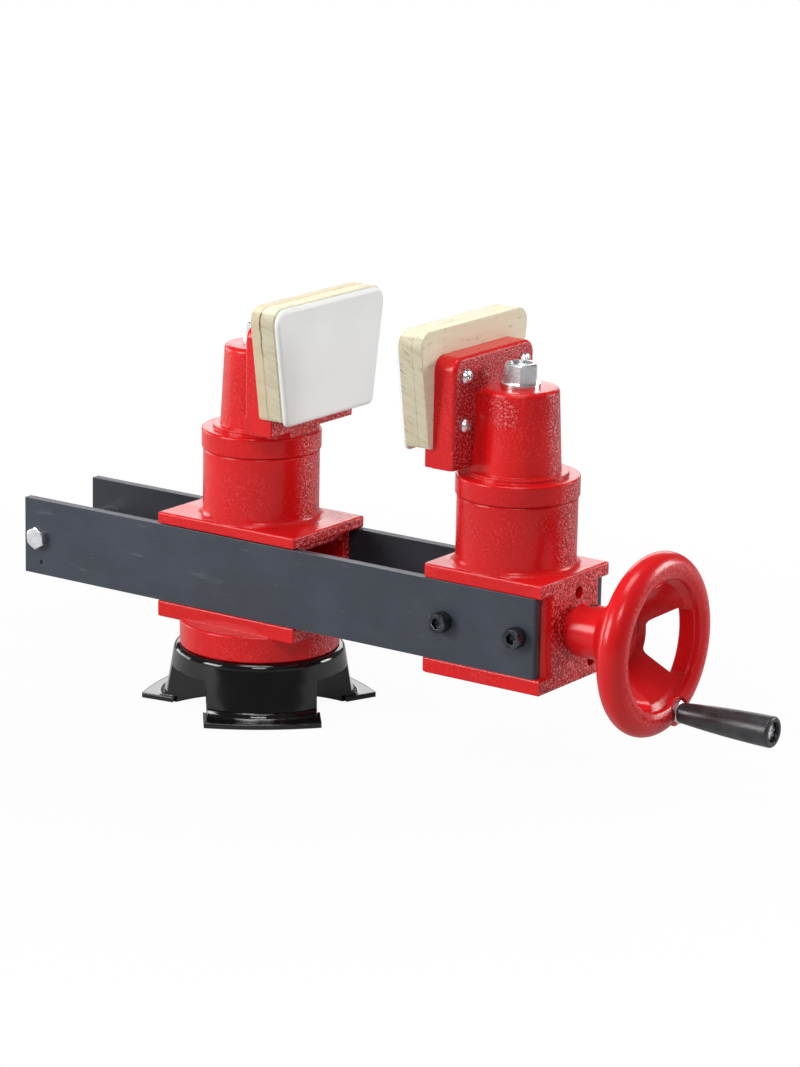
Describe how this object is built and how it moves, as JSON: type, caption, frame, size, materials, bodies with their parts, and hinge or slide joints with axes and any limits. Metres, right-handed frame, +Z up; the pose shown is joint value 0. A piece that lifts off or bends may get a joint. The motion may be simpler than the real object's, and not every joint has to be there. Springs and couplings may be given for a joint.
{
  "type": "carving bench vise",
  "caption": "Bench vise for wood carving: swivelling jaws with wooden pads on flat rails, a handwheel-driven screw, and a swivelling tripod foot that bolts to the bench.",
  "frame": {"origin": "on the vertical swivel axis of the foot, at bench level, in the mouth of the threaded hole for the bench bolt", "axes": "+Z up; +X along the rails, from the rear jaw towards the handwheel; -Y the near side in the picture"},
  "size_m": [0.532, 0.1486, 0.2689],
  "materials": {
    "red_enamel": "gloss over rough casting",
    "black_enamel": "gloss",
    "rail_paint": "satin",
    "zinc_plate": "bright zinc plate",
    "black_oxide": "black oxide",
    "turned_steel": "turned",
    "bronze": "machined",
    "pale_wood": "sanded, bare",
    "white_facing": "matt, slightly milky",
    "black_grip": "semi-gloss"
  },
  "bodies": {
    "base": {"base_tripod": "black_enamel", "pivot_post": "turned_steel", "pivot_washer": "zinc_plate", "pivot_nut": "zinc_plate"},
    "carriage": {"carriage": "red_enamel", "lock_screw": "black_oxide", "lead_nut": "bronze", "lead_nut_screws": "turned_steel", "rear_jaw_stud": "zinc_plate", "rear_jaw_washer": "zinc_plate", "rear_jaw_nut": "zinc_plate"},
    "rear_jaw": {"rear_jaw": "red_enamel", "rear_pad_backing": "pale_wood", "rear_pad_board": "pale_wood", "rear_pad_facing": "white_facing", "rear_pad_screws": "zinc_plate"},
    "frame": {"near_rail": "rail_paint", "far_rail": "rail_paint", "front_block": "red_enamel", "near_block_screws": "black_oxide", "far_block_screws": "black_oxide", "tie_bolt": "zinc_plate", "tie_spacer": "turned_steel", "tie_washer": "zinc_plate", "tie_nut": "zinc_plate", "rear_screw_bush": "bronze", "front_screw_bush": "bronze", "end_screws": "black_oxide", "front_jaw_stud": "zinc_plate", "front_jaw_washer": "zinc_plate", "front_jaw_nut": "zinc_plate"},
    "screw": {"lead_screw": "turned_steel", "thrust_washer": "turned_steel", "thrust_collar": "red_enamel", "handwheel": "red_enamel", "wheel_screw": "black_oxide", "handle_spindle": "zinc_plate", "spindle_nut": "zinc_plate"},
    "handle": {"handle_grip": "black_grip"},
    "front_jaw": {"front_jaw": "red_enamel", "front_pad_backing": "pale_wood", "front_pad_board": "pale_wood", "front_pad_facing": "white_facing", "front_pad_screws": "zinc_plate"}
  },
  "joints": [
    {"name": "base_swivel", "type": "hinge", "parent": "base", "child": "carriage", "pos_m": [0, 0, 0], "axis": [0, 0, 1], "continuous": true},
    {"name": "frame_slide", "type": "slide", "parent": "carriage", "child": "frame", "axis": [1, 0, 0], "range_m": [-0.0851, 0.0901]},
    {"name": "screw_turn", "type": "hinge", "parent": "frame", "child": "screw", "pos_m": [0, 0, 0.0893], "axis": [1, 0, 0], "range_deg": [-7650, 8100]},
    {"name": "handle_spin", "type": "hinge", "parent": "screw", "child": "handle", "pos_m": [0, 0.01751, 0.04439], "axis": [1, 0, 0], "continuous": true},
    {"name": "rear_jaw_swivel", "type": "hinge", "parent": "carriage", "child": "rear_jaw", "pos_m": [0, 0, 0.1977], "axis": [0, 0, 1], "continuous": true},
    {"name": "front_jaw_swivel", "type": "hinge", "parent": "frame", "child": "front_jaw", "pos_m": [0.194, 0, 0.1977], "axis": [0, 0, 1], "continuous": true}
  ],
  "couplings": [
    {"joint": "frame_slide", "follows": "screw_turn", "m_per_rad": 0.00063662}
  ]
}
